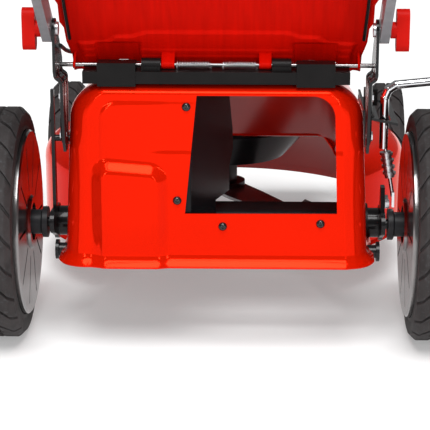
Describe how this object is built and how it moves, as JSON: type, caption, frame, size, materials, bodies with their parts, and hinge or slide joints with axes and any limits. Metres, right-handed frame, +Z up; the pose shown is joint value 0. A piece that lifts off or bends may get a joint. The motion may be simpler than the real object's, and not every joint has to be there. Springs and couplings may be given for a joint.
{
  "type": "walk-behind lawn mower",
  "caption": "Red walk-behind petrol lawn mower with a rear chute under a raised flap, folding handle, height lever, turning blade and rolling wheels.",
  "frame": {"origin": "on the ground under the middle of the whole mower's box, on its middle plane", "axes": "+X to the operator's right, +Y forward, away from the operator, +Z up"},
  "size_m": [0.5662, 1.4743, 1.0001],
  "materials": {
    "deck_paint": "gloss red-orange stove enamel",
    "liner_plastic": "satin black moulded plastic",
    "tunnel_plastic": "satin black moulded plastic",
    "screw_black": "black zinc",
    "hinge_black": "matt black moulded plastic",
    "rod_steel": "bright zinc-plated rod",
    "spring_steel": "bright spring wire",
    "bracket_black": "gloss black electro-coat",
    "zinc_bolts": "bright zinc",
    "axle_black": "satin black coat",
    "bush_plastic": "black bearing plastic",
    "nipple_plastic": "black moulded plastic",
    "engine_alloy": "bead-blasted die casting",
    "shroud_plastic": "fine-textured black plastic",
    "recoil_plastic": "black moulded plastic",
    "tank_plastic": "black blow-moulded plastic",
    "muffler_steel": "heat-stained sheet steel",
    "filter_plastic": "black moulded plastic",
    "plug_ceramic": "glazed ceramic with a rubber boot",
    "cable_sheath": "black plastic cable sheath",
    "cap_red": "satin red moulded plastic",
    "dipstick_plastic": "black moulded plastic",
    "grip_plastic": "black moulded plastic",
    "shaft_steel": "ground steel",
    "flywheel_iron": "cast alloy",
    "adapter_iron": "plain casting",
    "blade_steel": "black-coated blade steel with ground edges",
    "flap_plastic": "satin red moulded plastic",
    "lever_chrome": "bright plated rod",
    "lever_grip_plastic": "black moulded plastic",
    "tyre_rubber": "dark charcoal tread",
    "rear_rim_plastic": "gloss black moulded plastic",
    "disc_silver": "glossy light-grey moulded disc",
    "front_rim_plastic": "light-grey moulded plastic",
    "tube_silver": "silver-grey powder coat",
    "knob_red": "satin red moulded plastic",
    "foam_black": "foam rubber grip"
  },
  "bodies": {
    "deck": {"deck_housing": "deck_paint", "chute_liner": "liner_plastic", "axle_tunnel": "tunnel_plastic", "chute_screws": "screw_black", "hinge_bar": "hinge_black", "hinge_rod": "rod_steel", "flap_springs": "spring_steel", "left_handle_bracket": "bracket_black", "right_handle_bracket": "bracket_black", "bracket_bolts": "zinc_bolts", "height_quadrant": "bracket_black", "lever_guide_block": "hinge_black", "tie_bar": "axle_black", "axle_bushes": "bush_plastic", "wash_nipple": "nipple_plastic", "engine_block": "engine_alloy", "cylinder_head": "engine_alloy", "blower_shroud": "shroud_plastic", "recoil_cover": "recoil_plastic", "fuel_tank": "tank_plastic", "muffler": "muffler_steel", "air_filter": "filter_plastic", "spark_plug": "plug_ceramic", "engine_bolts": "zinc_bolts", "engine_stop_cable": "cable_sheath"},
    "rotor": {"crankshaft": "shaft_steel", "flywheel": "flywheel_iron", "blade_adapter": "adapter_iron", "blade": "blade_steel", "blade_bolt": "zinc_bolts"},
    "flap": {"rear_flap": "flap_plastic"},
    "fuel_cap": {"fuel_cap": "cap_red"},
    "dipstick": {"dipstick": "dipstick_plastic"},
    "starter": {"starter_grip": "grip_plastic"},
    "rear_axle": {"rear_axle": "axle_black", "height_lever": "lever_chrome", "lever_sleeve": "zinc_bolts", "lever_grip": "lever_grip_plastic"},
    "link_rod": {"link_rod": "axle_black"},
    "front_axle": {"front_axle": "axle_black"},
    "rear_left_wheel": {"rear_left_tyre": "tyre_rubber", "rear_left_rim": "rear_rim_plastic", "rear_left_dust_disc": "disc_silver"},
    "rear_right_wheel": {"rear_right_tyre": "tyre_rubber", "rear_right_rim": "rear_rim_plastic", "rear_right_dust_disc": "disc_silver"},
    "front_left_wheel": {"front_left_tyre": "tyre_rubber", "front_left_rim": "front_rim_plastic"},
    "front_right_wheel": {"front_right_tyre": "tyre_rubber", "front_right_rim": "front_rim_plastic"},
    "handle": {"left_lower_handle": "tube_silver", "right_lower_handle": "tube_silver", "handle_bolts": "zinc_bolts", "upper_handle": "tube_silver", "handle_grip": "foam_black", "handle_stop_cable": "cable_sheath"},
    "left_knob": {"lower_left_knob": "knob_red"},
    "right_knob": {"lower_right_knob": "knob_red"},
    "bail": {"stop_bail": "rod_steel"}
  },
  "joints": [
    {"name": "blade_spin", "type": "hinge", "parent": "deck", "child": "rotor", "pos_m": [0, 0.407, 0.205], "axis": [0, 0, 1], "continuous": true},
    {"name": "flap_hinge", "type": "hinge", "parent": "deck", "child": "flap", "pos_m": [0, 0.022, 0.345], "axis": [1, 0, 0], "range_deg": [0, 130]},
    {"name": "fuel_cap_turn", "type": "hinge", "parent": "deck", "child": "fuel_cap", "pos_m": [-0.062, 0.273, 0.405], "axis": [0, 0, 1], "range_deg": [0, 120]},
    {"name": "dipstick_turn", "type": "hinge", "parent": "deck", "child": "dipstick", "pos_m": [-0.078, 0.377, 0.285], "axis": [0, 0, 1], "range_deg": [0, 360]},
    {"name": "starter_pull", "type": "slide", "parent": "deck", "child": "starter", "axis": [0, -1, 0], "range_m": [0, 0.075]},
    {"name": "height_adjust", "type": "hinge", "parent": "deck", "child": "rear_axle", "pos_m": [0, 0.122, 0.129], "axis": [1, 0, 0], "range_deg": [-35, 0]},
    {"name": "front_height", "type": "hinge", "parent": "deck", "child": "front_axle", "pos_m": [0, 0.682, 0.089], "axis": [1, 0, 0], "range_deg": [-35, 0]},
    {"name": "link_pin", "type": "hinge", "parent": "rear_axle", "child": "link_rod", "pos_m": [-0.184, 0.098, 0.24], "axis": [1, 0, 0], "range_deg": [0, 35]},
    {"name": "rear_left_spin", "type": "hinge", "parent": "rear_axle", "child": "rear_left_wheel", "pos_m": [-0.257, 0.077, 0.14], "axis": [1, 0, 0], "continuous": true},
    {"name": "rear_right_spin", "type": "hinge", "parent": "rear_axle", "child": "rear_right_wheel", "pos_m": [0.257, 0.077, 0.14], "axis": [1, 0, 0], "continuous": true},
    {"name": "front_left_spin", "type": "hinge", "parent": "front_axle", "child": "front_left_wheel", "pos_m": [-0.244, 0.637, 0.1], "axis": [1, 0, 0], "continuous": true},
    {"name": "front_right_spin", "type": "hinge", "parent": "front_axle", "child": "front_right_wheel", "pos_m": [0.244, 0.637, 0.1], "axis": [1, 0, 0], "continuous": true},
    {"name": "handle_fold", "type": "hinge", "parent": "deck", "child": "handle", "pos_m": [0, -0.018, 0.393], "axis": [1, 0, 0], "range_deg": [-115, 0]},
    {"name": "left_knob_turn", "type": "hinge", "parent": "handle", "child": "left_knob", "pos_m": [-0.2, -0.018, 0.393], "axis": [1, 0, 0], "continuous": true},
    {"name": "right_knob_turn", "type": "hinge", "parent": "handle", "child": "right_knob", "pos_m": [0.2, -0.018, 0.393], "axis": [1, 0, 0], "continuous": true},
    {"name": "bail_squeeze", "type": "hinge", "parent": "handle", "child": "bail", "pos_m": [0, -0.65487, 0.9011], "axis": [1, 0, 0], "range_deg": [0, 36], "stiffness_Nm_per_rad": 0.6, "springref_deg": -28.65}
  ],
  "couplings": [
    {"joint": "front_height", "follows": "height_adjust", "ratio": 1},
    {"joint": "link_pin", "follows": "height_adjust", "ratio": -1}
  ]
}
